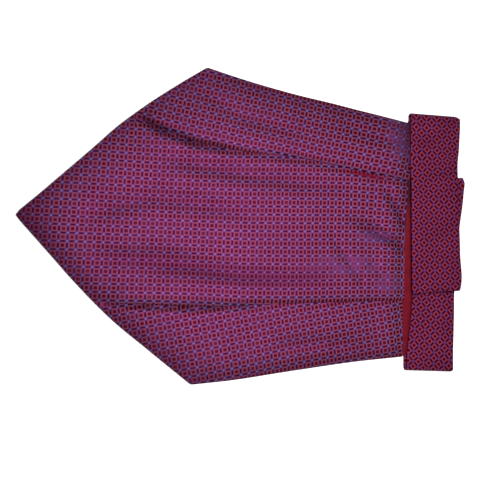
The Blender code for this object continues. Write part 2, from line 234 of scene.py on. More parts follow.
def edge_at(edge, x):
    """An edge's height at x, carried on straight beyond its ends, its slope and the cosine of its angle."""
    inside = np.clip(x, edge[0].x, edge[-1].x)
    before = np.maximum(inside - SLOPE_STEP, edge[0].x)
    after = np.minimum(inside + SLOPE_STEP, edge[-1].x)
    slope = (through(edge, "x", "y", after) - through(edge, "x", "y", before)) / (after - before)
    return through(edge, "x", "y", inside) + slope * (x - inside), slope, np.cos(np.arctan(slope))


def soft_least(values):
    """The least of some values, rounded off where two of them are nearly equal."""
    values = np.array(values)
    least = values.min(axis=0)
    return least - CORNER_SOFTNESS * np.log(np.exp((least - values) / CORNER_SOFTNESS).sum(axis=0))


def outline_y(x, inset, side):
    """The height of the line that lies this far inside the upper or the lower edges."""
    edges = [edge_at(edge, x) for edge in EDGES[side]]
    return side * soft_least([side * y - inset / cosine for y, _, cosine in edges])


def inset_of(x, y):
    """How far a point lies inside the nearest hemmed edge."""
    insets = []
    for side, edges in EDGES.items():
        for edge_y, _, cosine in (edge_at(edge, x) for edge in edges):
            insets.append(side * (edge_y - y) * cosine)
    return np.maximum(np.min(insets, axis=0), 0.0)


corners_y = [float(outline_y(UPPER_CORNER.x, 0.0, side)) for side in EDGES]
print("the blade is", round(corners_y[0] - corners_y[1], 1), "mm wide near its corners")

# %% [markdown]
# ## Rises and creases
# Silk with a light padding doesn't lie dead flat. It stands a little proud of the table, rides up over
# its hem and rolls over the seam allowance at the neck. Between those rises it settles in soft troughs,
# which were placed one by one: each has a name, a width, a depth and a few places that it runs through.
# They are what catches the light, so they matter more than their size says.

# %% Creases
Crease = namedtuple("Crease", "name width depth places")


def trough(name, width, depth, *places):
    """A crease through places that are given as pairs of x and y."""
    return Crease(name, width, depth, table(Place, *places))


CREASES = (
    trough("upper_panel", 5.0, 0.7, (-46, 92), (-9, 70), (60, 54)),
    trough("below_upper_pleat", 5.5, 1.3, (-66, 45), (-2, 33), (96, 22)),
    trough("point_to_middle", 6.5, 1.2, (-116, 6), (-66, 19), (-20, 12), (36, -6)),
    trough("above_lower_pleat", 7.0, 1.4, (-120, -20), (-62, -21), (-6, -32), (96, -34)),
    trough("neck_upper", 2.8, 1.9, (105, -2), (95, 15), (84, 32)),
    trough("neck_middle", 3.2, 2.1, (110, -19), (89, -6), (58, 10)),
    trough("neck_lower", 3.4, 0.7, (76, -42), (66, -26), (54, -8), (50, 6)),
    trough("neck_low", 3.4, 0.6, (78, -22), (88, -34), (96, -46)),
    trough("upper_panel_neck", 5.0, 1.0, (56, 70), (80, 60), (116, 50)),
    trough("lower_panel", 4.0, 0.5, (50, -79), (64, -80), (82, -85)),
    trough("lower_panel_edge", 5.0, 0.7, (10, -80), (62, -76), (116, -84)),
    trough("upper_pleat_mouth", 2.2, 2.6, (-84, 73), (-62, 61.5), (-38, 53), (-4, 48)),
    trough("lower_pleat_mouth", 1.5, 1.6, (-106, -47), (-80, -51), (-38, -53), (20, -52)),
)
PLEAT_GROOVE_WIDTH = 2.2
PLEAT_GROOVE_DEPTH = 1.3
DEEPEST = -1.7
DEEPEST_ON_HEM = -1.05
SOFT_START = 0.15
SOFT_FINISH = 0.5


def along_places(places, x, y):
    """How far points lie from a line of straight stretches, and the share of it that they are at."""
    lengths = [math.dist(start, end) for start, end in zip(places, places[1:])]
    nearest, at, walked = np.full(np.shape(y), np.inf), np.zeros(np.shape(y)), 0.0
    for start, end, length in zip(places, places[1:], lengths):
        run_x, run_y = end.x - start.x, end.y - start.y
        share = np.clip(((x - start.x) * run_x + (y - start.y) * run_y) / length**2, 0.0, 1.0)
        apart = np.hypot(x - start.x - share * run_x, y - start.y - share * run_y)
        at = np.where(apart < nearest, (walked + share * length) / sum(lengths), at)
        nearest = np.minimum(nearest, apart)
        walked += length
    return nearest, at


def pillow_lift(x, y):
    """The rise from the turned edge to the padded middle. It is steepest at the edge."""
    full = 1.0
    for side, edges in EDGES.items():
        for edge, reach in zip(edges, (POINT_REACH, LONG_REACH)):
            edge_y, _, cosine = edge_at(edge, x)
            share = np.clip((side * (edge_y - y) * cosine - FOLD_RADIUS) / reach, 0.0, 1.0)
            full = full * (1 - (1 - share) ** 2)
    return PILLOW_RISE * full * ease((SEAM[0].x - x) / NECK_ROLL_LENGTH)


def crease_depth(creases, x, y):
    """How deep the creases are at a point. Each one starts within a short way and fades out slowly."""
    depth = 0.0
    for crease in creases:
        apart, at = along_places(crease.places, x, y)
        full = crease.depth * ease(at / SOFT_START) * ease((1 - at) / SOFT_FINISH)
        depth = depth + full * np.exp(-((apart / crease.width) ** 2))
    return depth


def crease_lift(x, y):
    """The creases, and the grooves along the pleats, which start softly."""
    lift = -crease_depth(CREASES, x, y)
    for fold in (UPPER_FOLD, LOWER_FOLD):
        apart, at = along_places(fold, x, y)
        depth = PLEAT_GROOVE_DEPTH * ease(at / SOFT_START)
        lift = lift - depth * np.exp(-((apart / PLEAT_GROOVE_WIDTH) ** 2))
    return lift


def neck_lift(x):
    """The roll in which the blade rises over its seam allowance before it drops into the seam."""
    from_seam = SEAM[0].x - x
    rise = 1 - ease((from_seam - NECK_ROLL_CREST) / (NECK_ROLL_LENGTH - NECK_ROLL_CREST))
    return NECK_ROLL_HEIGHT * rise * ease(from_seam / NECK_ROLL_CREST)


def cloth_lift(x, y):
    """How far the panels lie above where they would with no hem, padding, crease or roll."""
    past_hem = ease((inset_of(x, y) - HEM_WIDTH) / FOLD_RADIUS)
    deepest = DEEPEST_ON_HEM + (DEEPEST - DEEPEST_ON_HEM) * past_hem
    padding = np.maximum(pillow_lift(x, y) + neck_lift(x) + crease_lift(x, y), deepest)
    return LEVEL + padding


# %% [markdown]
# ## The grain
# A woven repeat has to follow the threads through every fold, or the cloth looks like wallpaper. So each
# panel knows how its grain lies: the middle one runs straight, and the two outer ones are turned about
# the place where their pleat opens, by as much as the pleat takes in. The cloth also drifts a little
# where it was eased into the neck seam, which the short tables give: how far it has slipped along and
# across the grain, how much its rows lean and how much they spread. The result counts repeats of the
# pattern, and whole numbers are the middles of its squares.

# %% The grain
REPEAT_ALONG = 5.42
REPEAT_ACROSS = 5.27
ROW_ANGLE = math.radians(-2.3)
SQUARE = Place(-16.7, 5.0)

Drift = namedtuple("Drift", "x along across lean spread", defaults=(0.0, 0.0))
CENTRE_DRIFT = table(
    Drift,
    (-150, 2.4, 0.5, -0.028, 0.0),
    (-100, 1.5, 0.4, -0.026, 0.012),
    (-60, 0.8, 0.25, -0.003, 0.02),
    (-30, 0.6, -0.05, 0.0, 0.008),
    (-9, 0.3, -0.2, 0.0, -0.01),
    (11, 0.15, -0.9, 0.005, -0.022),
    (32, 0.4, -1.6, 0.012, -0.026),
    (51, 1.1, -2.45, 0.011, -0.024),
    (72, 1.6, -3.0, 0.009, -0.013),
    (95, 2.3, -2.6, 0.01, 0.012),
    (112, 2.6, -2.5, 0.01, 0.02),
)
UPPER_DRIFT = table(
    Drift, (-78, 1.1, 0.4), (-55, -0.8, 1.3), (-38, -0.5, 0.9), (-22, -0.1, 0.2), (-6, 0.2, -0.3),
    (11, 0.5, -1.1), (28, 0.5, -1.6), (46, 0.6, -2.1), (64, 0.4, -3.3), (81, 0.1, -3.9),
    (112, -0.2, -4.4),
)
LOWER_DRIFT = table(
    Drift, (-99, 1.5, 0.4), (-80, 2.2, 0.35), (-48, 1.7, 0.0), (-32, 1.3, 0.0), (-16, 0.8, -0.25),
    (1, 0.7, -0.55), (18, 0.8, -0.9), (53, 0.75, -1.0), (112, 0.8, -1.2),
)
Grain = namedtuple("Grain", "turn pivot drifts")
CENTRE_GRAIN = Grain(0.0, Place(0.0, 0.0), CENTRE_DRIFT)
UPPER_GRAIN = Grain(math.radians(10.5), UPPER_FOLD[0], UPPER_DRIFT)
LOWER_GRAIN = Grain(math.radians(-11.0), LOWER_FOLD[0], LOWER_DRIFT)


def weave_place(grain, x, y):
    """Where points of a panel lie on the woven cloth, counted in repeats of its pattern."""
    from_x, from_y = x - grain.pivot.x, y - grain.pivot.y
    flat_x = grain.pivot.x + from_x * math.cos(grain.turn) - from_y * math.sin(grain.turn) - SQUARE.x
    flat_y = grain.pivot.y + from_x * math.sin(grain.turn) + from_y * math.cos(grain.turn) - SQUARE.y
    along = flat_x * math.cos(ROW_ANGLE) + flat_y * math.sin(ROW_ANGLE)
    across = flat_y * math.cos(ROW_ANGLE) - flat_x * math.sin(ROW_ANGLE)
    along = along + through(grain.drifts, "x", "along", x) + through(grain.drifts, "x", "lean", x) * y
    across = across + through(grain.drifts, "x", "across", x) + through(grain.drifts, "x", "spread", x) * y
    return np.stack(np.broadcast_arrays(along / REPEAT_ALONG, across / REPEAT_ACROSS), axis=-1)


# %% [markdown]
# ## One pleat in section
# Cut across, a knife pleat is a flat Z: the panel turns under, runs back and turns again into the next
# panel. The class below walks along that Z. Where the pleat opens, the turn grows from nothing, so the
# fold fades into the cloth as a real one does.

# %% Pleat section
TURN_SEGMENTS = 8
RETURN_SEGMENTS = 6


class PleatSection:
    """One pleat where a plane of constant x cuts it."""

    def __init__(self, pleat, x, scale):
        self.fold_y = through(pleat.fold, "x", "y", x)
        along = x - pleat.fold[0].x
        self.turn = math.pi * float(ease(along / PLEAT_OPENING))
        softness = max(1 - self.turn / (math.pi / 2), 0.0)
        grown = float(ease(along / PLEAT_LENGTH))
        radius = (LEAST_LEVEL + (LEVEL - LEAST_LEVEL) * grown) / 2 + SOFT_STEP_RADIUS * softness**2
        self.arc = max(radius * self.turn, SHORTEST_TURN * scale)
        folded_length = along - RETURN_FROM * PLEAT_OPENING
        self.depth = max(folded_length * pleat.depth_per_length, SHORTEST_RETURN * scale)
        self.rise = LEAST_RISE + (pleat.rise - LEAST_RISE) * grown
        self.places = self.walk()
        self.height = -self.places[-1, 1]
        self.shift = self.places[-1, 0]
        self.folded = math.sin(self.turn / 2) ** 2
        self.set_back = FOLD_RADIUS * self.folded
        self.hidden = (self.depth + PLEAT_CLEARANCE) * self.folded

    def walk(self):
        """The pleat's middle line, its direction and the length walked, from one panel to the next."""
        steps = [(self.arc / TURN_SEGMENTS, self.turn / TURN_SEGMENTS)] * TURN_SEGMENTS
        steps += [(self.depth / RETURN_SEGMENTS, 0.0)] * RETURN_SEGMENTS
        steps += [(self.arc / TURN_SEGMENTS, -self.turn / TURN_SEGMENTS)] * TURN_SEGMENTS
        y = z = angle = walked = 0.0
        places = [(y, z, angle, walked)]
        for length, bend in steps:
            middle = angle + bend / 2
            chord = length * (math.sin(bend / 2) / (bend / 2) if bend else 1.0)
            y -= chord * math.cos(middle)
            z -= chord * math.sin(middle)
            angle += bend
            walked += length
            places.append((y, z, angle, walked))
        return np.array(places)

    def sheet(self, start_y):
        """Outer and inner points (y, z) from one panel to the next."""
        y, z, angle, _ = self.places.T
        middle = np.stack([start_y + y, WALL - CLOTH / 2 + self.height + z], axis=-1)
        outward = np.stack([-np.sin(angle), np.cos(angle)], axis=-1) * CLOTH / 2
        return middle + outward, middle - outward

    def weave(self, first, last):
        """The weave's places on the way, from those of the two panels at the pleat's ends."""
        share = self.places[:, 3:] / self.places[-1, 3]
        return first + (last - first) * share


# %% [markdown]
# ## One section across the blade
# A section runs from the raw edge of the upper hem, round the turned edge, over the upper panel, the
# pleat, the middle, the other pleat and the lower panel to the other hem. Every section has the same
# number of points, so that a flat grid can be laid onto them, row by row.

# %% Blade section
HEM_SEGMENTS = 4
EDGE_SEGMENTS = 8
PANEL_SEGMENTS = {"upper": 34, "centre": 66, "lower": 30}


def outward_at(x, side):
    """The direction out of the cloth at its nearest edge. The weave carries on along it into the hem."""
    edges = [edge_at(edge, x) for edge in EDGES[side]]
    _, slope, cosine = min(edges, key=lambda found: side * found[0])
    return -side * slope * cosine, side * cosine


def hem_reach(x, middle, side):
    """The hem's width, less where the hems of both edges meet in the point."""
    inset = HEM_WIDTH
    while inset > LEAST_HEM and side * (outline_y(x, inset, side) - middle) < GAP:
        inset -= GAP / 2
    return max(inset, LEAST_HEM)


def turned_edge(x, middle, grain, side):
    """The hem and the turn round its edge, from the hem's raw edge: outer and inner points, and weave."""
    hem_insets = np.linspace(hem_reach(x, middle, side), FOLD_RADIUS, HEM_SEGMENTS + 1)[:-1]
    hem_y = outline_y(x, hem_insets, side)
    angles = np.linspace(0.0, math.pi, EDGE_SEGMENTS + 1)
    sides = []
    for radius, hem_z in ((FOLD_RADIUS, 0.0), (FOLD_RADIUS - CLOTH, CLOTH)):
        turn_y = outline_y(x, FOLD_RADIUS - radius * np.sin(angles), side)
        turn_z = FOLD_RADIUS - radius * np.cos(angles)
        hem = np.stack([hem_y, np.full(len(hem_y), hem_z)], axis=-1)
        sides.append(np.concatenate([hem, np.stack([turn_y, turn_z], axis=-1)]))
    beyond_hem = 2 * (hem_insets - FOLD_RADIUS) + math.pi * FOLD_RADIUS
    beyond_turn = FOLD_RADIUS * (math.pi - angles - np.sin(angles))
    beyond = np.concatenate([beyond_hem, beyond_turn])
    out_x, out_y = outward_at(x, side)
    return *sides, weave_place(grain, x + out_x * beyond, sides[0][:, 0] + out_y * beyond)


def panel(x, from_y, to_y, segments, lift, grain):
    """A flat stretch between two pleats or edges, without its two ends."""
    y = np.linspace(from_y, to_y, segments + 1)[1:-1]
    top = lift(y) + np.full(len(y), WALL)
    outer, inner = np.stack([y, top], axis=-1), np.stack([y, top - CLOTH], axis=-1)
    return outer, inner, weave_place(grain, np.full(len(y), x), y)


def blade_section(x):
    """The cloth where a plane of constant x cuts it: places[point, side, yz] and weave[point, uv]."""
    top, bottom = (outline_y(x, FOLD_RADIUS, side) for side in EDGES)
    middle = sum(outline_y(x, 0.0, side) for side in EDGES) / 2
    scale = min((top - bottom) / FULL_WIDTH, 1.0)
    strip = NARROWEST_STRIP * scale
    upper, lower = (PleatSection(pleat, x, scale) for pleat in (UPPER_PLEAT, LOWER_PLEAT))
    upper_start = min(upper.fold_y + upper.set_back, top - strip)
    lower_start = max(lower.fold_y + lower.set_back, bottom + strip - lower.shift * (1 - lower.folded))
    upper_end, lower_end = upper_start + upper.shift, lower_start + lower.shift
    upper_grain = UPPER_GRAIN if x > UPPER_FOLD[0].x else CENTRE_GRAIN
    lower_grain = LOWER_GRAIN if x > LOWER_FOLD[0].x else CENTRE_GRAIN

    def upper_lift(y):
        full = upper_start + upper.hidden
        return upper.height * (1 - ease((y - full) / min(upper.rise, top - full)))

    def centre_lift(y):
        full = lower_start + lower.hidden
        return lower.height * (1 - ease((y - full) / lower.rise))

    def weave_at(grain, y):
        return weave_place(grain, x, np.array([y]))[0]

    upper_weave = upper.weave(weave_at(upper_grain, upper_start), weave_at(CENTRE_GRAIN, upper_end))
    lower_weave = lower.weave(weave_at(CENTRE_GRAIN, lower_start), weave_at(lower_grain, lower_end))
    upper_hem = turned_edge(x, middle, upper_grain, UPPER)
    lower_hem = turned_edge(x, middle, lower_grain, LOWER)
    runs = [
        upper_hem,
        panel(x, top, upper_start, PANEL_SEGMENTS["upper"], upper_lift, upper_grain),
        (*upper.sheet(upper_start), upper_weave),
        panel(x, upper_end, lower_start, PANEL_SEGMENTS["centre"], centre_lift, CENTRE_GRAIN),
        (*lower.sheet(lower_start), lower_weave),
        panel(x, lower_end, bottom, PANEL_SEGMENTS["lower"], lambda y: 0.0, lower_grain),
        tuple(side[::-1] for side in lower_hem),
    ]
    outer, inner, weave = (np.concatenate([run[side] for run in runs]) for side in range(3))
    y = (outer[:, 0] + inner[:, 0]) / 2
    on_panel = np.ones(len(y), bool)
    on_panel[: len(upper_hem[0])] = False
    on_panel[-len(lower_hem[0]) :] = False
    lift = np.where(on_panel, cloth_lift(x, y), 0.0)
    places = np.stack([outer, inner], axis=1)
    places[:, :, 1] += lift[:, None]
    return places, weave


# %% [markdown]
# ## From a flat grid to folded cloth
# Cloth is cut flat and then folded, and so is this mesh. A grid primitive is the cut piece, Solidify
# gives it a face and a back, and then each of its points goes to its place in the sections. The flat
# grid's own x and y still say which row and column a point belongs to, and its z which side it is on.

# %% Cut and fold
FLAT_THICKNESS = 0.02
SMOOTH_ANGLE = math.radians(50)


def cut_cloth(name, rows, columns, materials):
    """A flat piece of cloth, one unit square, as a closed sheet with a face and a back."""
    deselect()
    bpy.ops.mesh.primitive_grid_add(x_subdivisions=columns - 1, y_subdivisions=rows - 1, size=1.0)
    piece = bpy.context.object
    piece.name = piece.data.name = name
    for made in materials:
        piece.data.materials.append(made)
    wall = piece.modifiers.new("Cloth", "SOLIDIFY")
    wall.thickness = FLAT_THICKNESS
    wall.offset = 0.0
    wall.material_offset = len(materials) - 1
    bpy.ops.object.modifier_apply(modifier=wall.name)
    return piece


def fold_cloth(piece, places, weave, shade):
    """Lays the flat piece onto places[row, column, side, xyz] and writes weave[row, column, uv].

    The shade[row, column] is 0 in the open and nears 1 where hardly any light reaches the cloth."""
    mesh = piece.data
    rows, columns = places.shape[:2]
    flat = np.empty(len(mesh.vertices) * 3)
    mesh.vertices.foreach_get("co", flat)
    flat = flat.reshape(-1, 3)
    row = np.rint((flat[:, 1] + 0.5) * (rows - 1)).astype(int)
    column = np.rint((flat[:, 0] + 0.5) * (columns - 1)).astype(int)
    side = (flat[:, 2] < 0).astype(int)
    centred = places[row, column, side] - (BOX_MIDDLE.x, BOX_MIDDLE.y, 0.0)
    mesh.vertices.foreach_set("co", (centred * MM).ravel())
    corners = np.empty(len(mesh.loops), int)
    mesh.loops.foreach_get("vertex_index", corners)
    mesh.uv_layers[0].name = "weave"
    mesh.uv_layers[0].uv.foreach_set("vector", weave[row, column][corners].ravel())
    mesh.attributes.new("shade", "FLOAT", "POINT").data.foreach_set("value", shade[row, column])
    mesh.update()
    deselect()
    piece.select_set(True)
    bpy.context.view_layer.objects.active = piece
    bpy.ops.object.shade_smooth_by_angle(angle=SMOOTH_ANGLE)


def face_area(piece):
    """Half the area of a closed sheet, in square metres."""
    return sum(polygon.area for polygon in piece.data.polygons) / 2


# %% [markdown]
# ## Shader maths as formulas
# The pattern is a formula on the weave's coordinates, so the material is written as one. A Wire stands
# for a value in the node tree, and adding or multiplying two of them adds the Math node that does it.

# %% Wires
DEEP_SHADE = (0.006, 0.000, 0.002, 1.0)


class Finish:
    """A material while its nodes are being added."""

    def __init__(self, name):
        self.material = bpy.data.materials.new(name)
        self.material.use_nodes = True
        self.tree = self.material.node_tree
        self.shader = self.tree.nodes["Principled BSDF"]

    def node(self, kind, settings=None, inputs=None, output=0):
        """Adds a node, sets it up, feeds its sockets and returns one of its outputs as a wire."""
        made = self.tree.nodes.new(kind)
        for name, value in (settings or {}).items():
            setattr(made, name, value)
        self.feed(made, inputs or {})
        return Wire(self, made.outputs[output])

    def feed(self, node, inputs):
        """Links wires to a node's sockets, and sets the sockets that get a constant."""
        for socket, value in inputs.items():
            if isinstance(value, Wire):
                self.tree.links.new(value.socket, node.inputs[socket])
            else:
                node.inputs[socket].default_value = value

    def axes(self, place):
        """The first two coordinates of a place."""
        x = self.node("ShaderNodeSeparateXYZ", {}, {0: place})
        return x, Wire(self, x.socket.node.outputs[1])

    def mix(self, first, second, factor):
        """A colour between two colours."""
        return self.node("ShaderNodeMix", {"data_type": "RGBA"}, {0: factor, 6: first, 7: second}, 2)

    def shaded(self, colour):
        """A colour made darker by the mesh's shade."""
        shade = self.node("ShaderNodeAttribute", {"attribute_name": "shade"}, {}, 2)
        return self.mix(colour, DEEP_SHADE, shade)

    def noise(self, place, scale, low, high):
        """Soft clouds: 0 where the noise is below low, 1 where it is above high."""
        inputs = {"Vector": place, "Scale": scale, "Detail": 2.0}
        return self.node("ShaderNodeTexNoise", {}, inputs).up(low, high)

    def emboss(self, height, depth):
        """Bumps the surface by a height of 0 to 1 times a depth in metres."""
        bump = self.node("ShaderNodeBump", {}, {"Strength": 1.0, "Distance": depth, "Height": height})
        self.feed(self.shader, {"Normal": bump})


class Wire:
    """A value of a material's node tree, for use in formulas."""

    def __init__(self, finish, socket):
        self.finish = finish
        self.socket = socket

    def math(self, operation, *others, first=None):
        """One Math node. It works on this wire and some others, or starts with another value."""
        values = [self if first is None else first, *others]
        return self.finish.node("ShaderNodeMath", {"operation": operation}, dict(enumerate(values)))

    def __add__(self, other):
        return self.math("ADD", other)

    __radd__ = __add__

    def __mul__(self, other):
        return self.math("MULTIPLY", other)

    __rmul__ = __mul__

    def __sub__(self, other):
        return self.math("SUBTRACT", other)

    def __rsub__(self, other):
        return self.math("SUBTRACT", self, first=other)

    def __truediv__(self, other):
        return self.math("DIVIDE", other)

    def __abs__(self):
        return self.math("ABSOLUTE")

    def up(self, start, end):
        """0 below start, 1 above end and smooth between. With start above end it falls instead."""
        inputs = {"Value": self, "From Min": start, "From Max": end}
        return self.finish.node("ShaderNodeMapRange", {"interpolation_type": "SMOOTHSTEP"}, inputs)


# %% [markdown]
# ## The woven pattern
# The repeat is a small square ring with a dark red heart. Short dark bars stand between neighbouring
# squares, and a lilac dot sits where four of them meet. Red threads run one way and blue ones the other,
# so the ground between is a purple of both. Each of these is a distance within the repeat, softened by
# the width of a thread or two.

# %% Pattern
SQUARE_ROUNDING = 0.12
RING_SOFTNESS = 0.035
HEART_SOFTNESS = 0.03
BAR_ACROSS = (0.36, 0.41)
BAR_ALONG = (0.30, 0.22)
DOT_SLANT = (0.60, 0.85)
DOT_RIM = (0.17, 0.07)
Dye = namedtuple("Dye", "ground ring heart bar dot heart_reach ring_reach tint sheen")
BLADE_DYE = Dye(
    ground=(0.064, 0.022, 0.084, 1.0),
    ring=(0.154, 0.035, 0.059, 1.0),
    heart=(0.036, 0.000, 0.000, 1.0),
    bar=(0.020, 0.000, 0.004, 1.0),
    dot=(0.090, 0.090, 0.212, 1.0),
    heart_reach=0.195,
    ring_reach=0.340,
    tint=(1.0, 0.08, 0.52, 1.0),
    sheen=0.235,
)
# The band is the same silk as the blade: its darker, duller colours are painted shade for the weaker sheen
# of its bias cut.
BAND_DYE_AND_SHADE = Dye(
    ground=(0.064, 0.010, 0.052, 1.0),
    ring=(0.158, 0.023, 0.050, 1.0),
    heart=(0.046, 0.000, 0.001, 1.0),
    bar=(0.020, 0.000, 0.003, 1.0),
    dot=(0.070, 0.030, 0.110, 1.0),
    heart_reach=0.190,
    ring_reach=0.350,
    tint=(1.0, 0.10, 0.40, 1.0),
    sheen=0.10,
)
BACK_DYE = Dye(
    ground=(0.090, 0.012, 0.060, 1.0),
    ring=(0.045, 0.006, 0.040, 1.0),
    heart=(0.080, 0.004, 0.020, 1.0),
    bar=(0.060, 0.006, 0.050, 1.0),
    dot=(0.030, 0.004, 0.030, 1.0),
    heart_reach=0.190,
    ring_reach=0.345,
    tint=(1.0, 0.08, 0.52, 1.0),
    sheen=0.10,
)


def pattern_masks(finish, weave, dye):
    """The masks of one repeat: ring, heart, bar and dot, from the weave's coordinates."""
    u, v = finish.axes(weave)
    p, q = u.math("WRAP", 0.5, -0.5), v.math("WRAP", 0.5, -0.5)
    out = abs(p).math("SMOOTH_MAX", abs(q), SQUARE_ROUNDING)
    ring = out.up(dye.ring_reach + RING_SOFTNESS, dye.ring_reach - RING_SOFTNESS)
    heart = out.up(dye.heart_reach + HEART_SOFTNESS, dye.heart_reach - HEART_SOFTNESS)
    beside, above = (abs(a).up(*BAR_ACROSS) * abs(b).up(*BAR_ALONG) for a, b in ((p, q), (q, p)))
    corner_p, corner_q = u.math("WRAP", 1.0, 0.0) - 0.5, v.math("WRAP", 1.0, 0.0) - 0.5
    slant = (corner_p + corner_q) * DOT_SLANT[0]
    width = (corner_p - corner_q) * DOT_SLANT[1]
    dot = (slant * slant + width * width).math("SQRT").up(*DOT_RIM)
    return ring, heart, beside.math("MAXIMUM", above), dot


# %% [markdown]
# ## Painted sheen and a painted red shade
# Where the cloth tips towards the light, its sheen washes its figure out into the ground. That sheen is
# painted into the colour, in a few oval patches near the neck. A dark red shade is also painted along
# part of the upper pleat's fold, as a narrow stripe.

# %% Painted sheen and red shade
Patch = namedtuple("Patch", "x y wide tall")
# Painted sheen: in these oval patches the figure is washed out into the ground.
SHEEN_PATCHES = table(
    Patch, (103.0, 62.0, 14.0, 23.0), (84.0, -7.0, 18.0, 6.0), (60.0, -26.0, 34.0, 9.0),
    (92.0, -38.0, 12.0, 8.0),
)
PATCH_RIM = (1.0, 0.1)
PATCH_CLOUDS = (150.0, 0.30, 0.60)
MOST_SHEEN_WASH = 0.72
Stripe = namedtuple("Stripe", "start end width")
# Painted shade: a dark red stripe along the upper pleat's fold.
RED_FOLD_SHADE = Stripe(Place(56.0, 38.6), Place(102.0, 30.0), 1.8)
RED_FOLD_SHADE_COLOUR = (0.115, 0.000, 0.004, 1.0)
RED_FOLD_SHADE_RIM = (1.0, 0.2)
RED_FOLD_SHADE_SHARE = 0.75
RED_FOLD_SHADE_ENDS = 0.45


def sheen_wash(finish, place):
    """How far painted sheen washes out the figure: most in the middle of each patch, in object coordinates.
    """
    x, y = finish.axes(place)
    most = 0.0
    for patch in SHEEN_PATCHES:
        across = (x - patch.x * MM) / (patch.wide * MM)
        along = (y - patch.y * MM) / (patch.tall * MM)
        most = (across * across + along * along).up(*PATCH_RIM).math("MAXIMUM", most)
    return most * finish.noise(place, *PATCH_CLOUDS) * MOST_SHEEN_WASH


def red_fold_shade(finish, place):
    """The painted dark red shade along the upper pleat's fold, where it gapes next to the seam."""
    x, y = finish.axes(place)
    long_x, long_y = RED_FOLD_SHADE.end.x - RED_FOLD_SHADE.start.x, RED_FOLD_SHADE.end.y - RED_FOLD_SHADE.start.y
    length = math.hypot(long_x, long_y)
    off_x, off_y = x - RED_FOLD_SHADE.start.x * MM, y - RED_FOLD_SHADE.start.y * MM
    along = (off_x * long_x + off_y * long_y) / (length * length * MM)
    apart = (off_y * long_x - off_x * long_y) / (length * RED_FOLD_SHADE.width * MM)
    ends = along.up(0.0, RED_FOLD_SHADE_ENDS) * along.up(1.0, 1.0 - RED_FOLD_SHADE_ENDS)
    return (apart * apart).up(*RED_FOLD_SHADE_RIM) * ends * RED_FOLD_SHADE_SHARE


# %% [markdown]
# ## The finishes
# The dyes are laid over the ground one after another: bars, rings, hearts and dots. Clouds of painted
# sheen wash the figure out, more near the point than near the neck, and noise makes the whole a little
# uneven. The figure and the slanting threads are raised very slightly, which breaks up the sheen.

# %% Finishes
SHEEN_WASH_CLOUDS = (170.0, 0.35, 0.65)
SHEEN_WASH_SHARE = 0.20
CRISP_TOWARDS = (-0.010, 0.070)
UNEVEN_CLOUDS = (70.0, 0.35, 0.65)
UNEVEN = 0.10
SILK_ROUGHNESS = 0.47
SUNK_ROUGHNESS = 0.10
DOT_GLOSS = 0.08
THREADS = 16.0
THREAD_RELIEF = 0.03
RAISED, SUNK = 0.6, 0.5
SILK_RELIEF = 0.00003

SATIN_LIGHT = (0.135, 0.002, 0.011, 1.0)
SATIN_DARK = (0.085, 0.000, 0.005, 1.0)
SATIN_RIBS = 14.0
SATIN_SLANT = 0.5
SATIN_CLOUDS = (1.3, 0.3, 0.7)
SATIN_ROUGHNESS = 0.50
SATIN_RIB_ROUGHNESS = 0.08
SATIN_RELIEF = 0.00002
SATIN_SHEEN = 0.05

PAPER_WHITE = (0.9, 0.9, 0.9, 1.0)
PAPER_ROUGHNESS = 0.9


def patterned_silk(name, dye, painted_light=False):
    """The figured silk, in one of its three sets of dyes; the band's set also holds painted shade."""
    finish = Finish(name)
    weave = finish.node("ShaderNodeUVMap", {"uv_map": "weave"})
    place = finish.node("ShaderNodeTexCoord", {}, {}, "Object")
    ring, heart, bar, dot = pattern_masks(finish, weave, dye)
    from_point = finish.axes(place)[0].up(*CRISP_TOWARDS)
    # Painted sheen: clouds wash the figure out, more near the point than near the neck.
    kept = 1.0 - SHEEN_WASH_SHARE * finish.noise(place, *SHEEN_WASH_CLOUDS) * (1.0 - from_point)
    # Painted sheen washes the figure out in the oval patches.
    if painted_light:
        kept = kept * (1.0 - sheen_wash(finish, place))
    ring, heart, bar = ring * kept, heart * kept, bar * kept
    colour = dye.ground
    for laid_over, mask in ((dye.bar, bar), (dye.ring, ring), (dye.heart, heart), (dye.dot, dot)):
        colour = finish.mix(colour, laid_over, mask)
    # Painted dark red shade along the upper pleat's fold.
    if painted_light:
        colour = finish.mix(colour, RED_FOLD_SHADE_COLOUR, red_fold_shade(finish, place))
    colour = finish.mix(colour, DEEP_SHADE, UNEVEN * finish.noise(place, *UNEVEN_CLOUDS))
    u, v = finish.axes(weave)
    threads = ((u + v) * THREADS * math.tau).math("SINE")
    finish.emboss(RAISED * (ring + dot) - SUNK * (heart + bar) + THREAD_RELIEF * threads, SILK_RELIEF)
    inputs = {
        "Base Color": finish.shaded(colour),
        "Roughness": SILK_ROUGHNESS + SUNK_ROUGHNESS * (heart + bar) - DOT_GLOSS * dot,
        "Specular Tint": dye.tint,
        "Specular IOR Level": dye.sheen,
    }
    finish.feed(finish.shader, inputs)
    return finish.material


def ribbed_satin(name):
    """Plain satin, with the fine slanting ribs of its weave and a little cloudiness."""
    finish = Finish(name)
    weave = finish.node("ShaderNodeUVMap", {"uv_map": "weave"})
    u, v = finish.axes(weave)
    ribs = ((u + SATIN_SLANT * v) * SATIN_RIBS * math.tau).math("SINE") * 0.5 + 0.5
    light = 0.5 * ribs + 0.5 * finish.noise(weave, *SATIN_CLOUDS)
    finish.emboss(ribs, SATIN_RELIEF)
    inputs = {
        "Base Color": finish.shaded(finish.mix(SATIN_DARK, SATIN_LIGHT, light)),
        "Roughness": SATIN_ROUGHNESS + SATIN_RIB_ROUGHNESS * ribs,
        "Specular IOR Level": SATIN_SHEEN,
    }
    finish.feed(finish.shader, inputs)
    return finish.material


